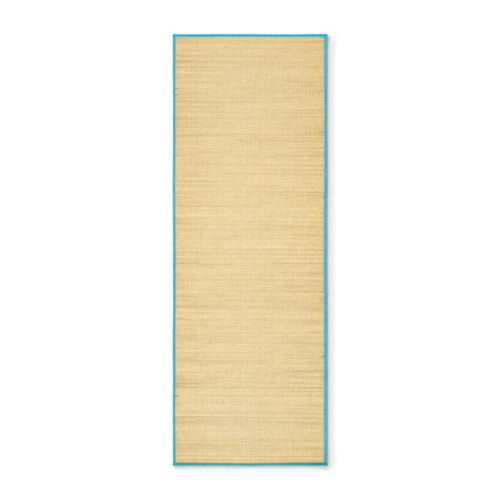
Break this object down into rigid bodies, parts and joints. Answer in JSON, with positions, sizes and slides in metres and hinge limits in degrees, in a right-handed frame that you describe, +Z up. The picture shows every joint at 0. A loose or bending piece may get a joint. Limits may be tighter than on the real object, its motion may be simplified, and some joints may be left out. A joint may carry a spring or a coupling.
{
  "type": "straw beach mat",
  "caption": "Flat woven straw mat for lying on, long and narrow, edged all round with folded turquoise tape.",
  "frame": {"origin": "on the ground under the middle of the mat", "axes": "+X across the mat's width, to the right when seen from above; +Y along its length, towards the head end; +Z up, out of the top face"},
  "size_m": [0.645, 1.8, 0.0066],
  "materials": {
    "woven_straw": "flattened natural straws woven on light cotton threads, dull with a faint sheen",
    "turquoise_tape": "plain-woven cotton tape, folded over the edge and sewn, matte"
  },
  "bodies": {
    "root": {"straw_panel": "woven_straw", "binding_left": "turquoise_tape", "binding_right": "turquoise_tape", "binding_head": "turquoise_tape", "binding_foot": "turquoise_tape"}
  },
  "joints": []
}
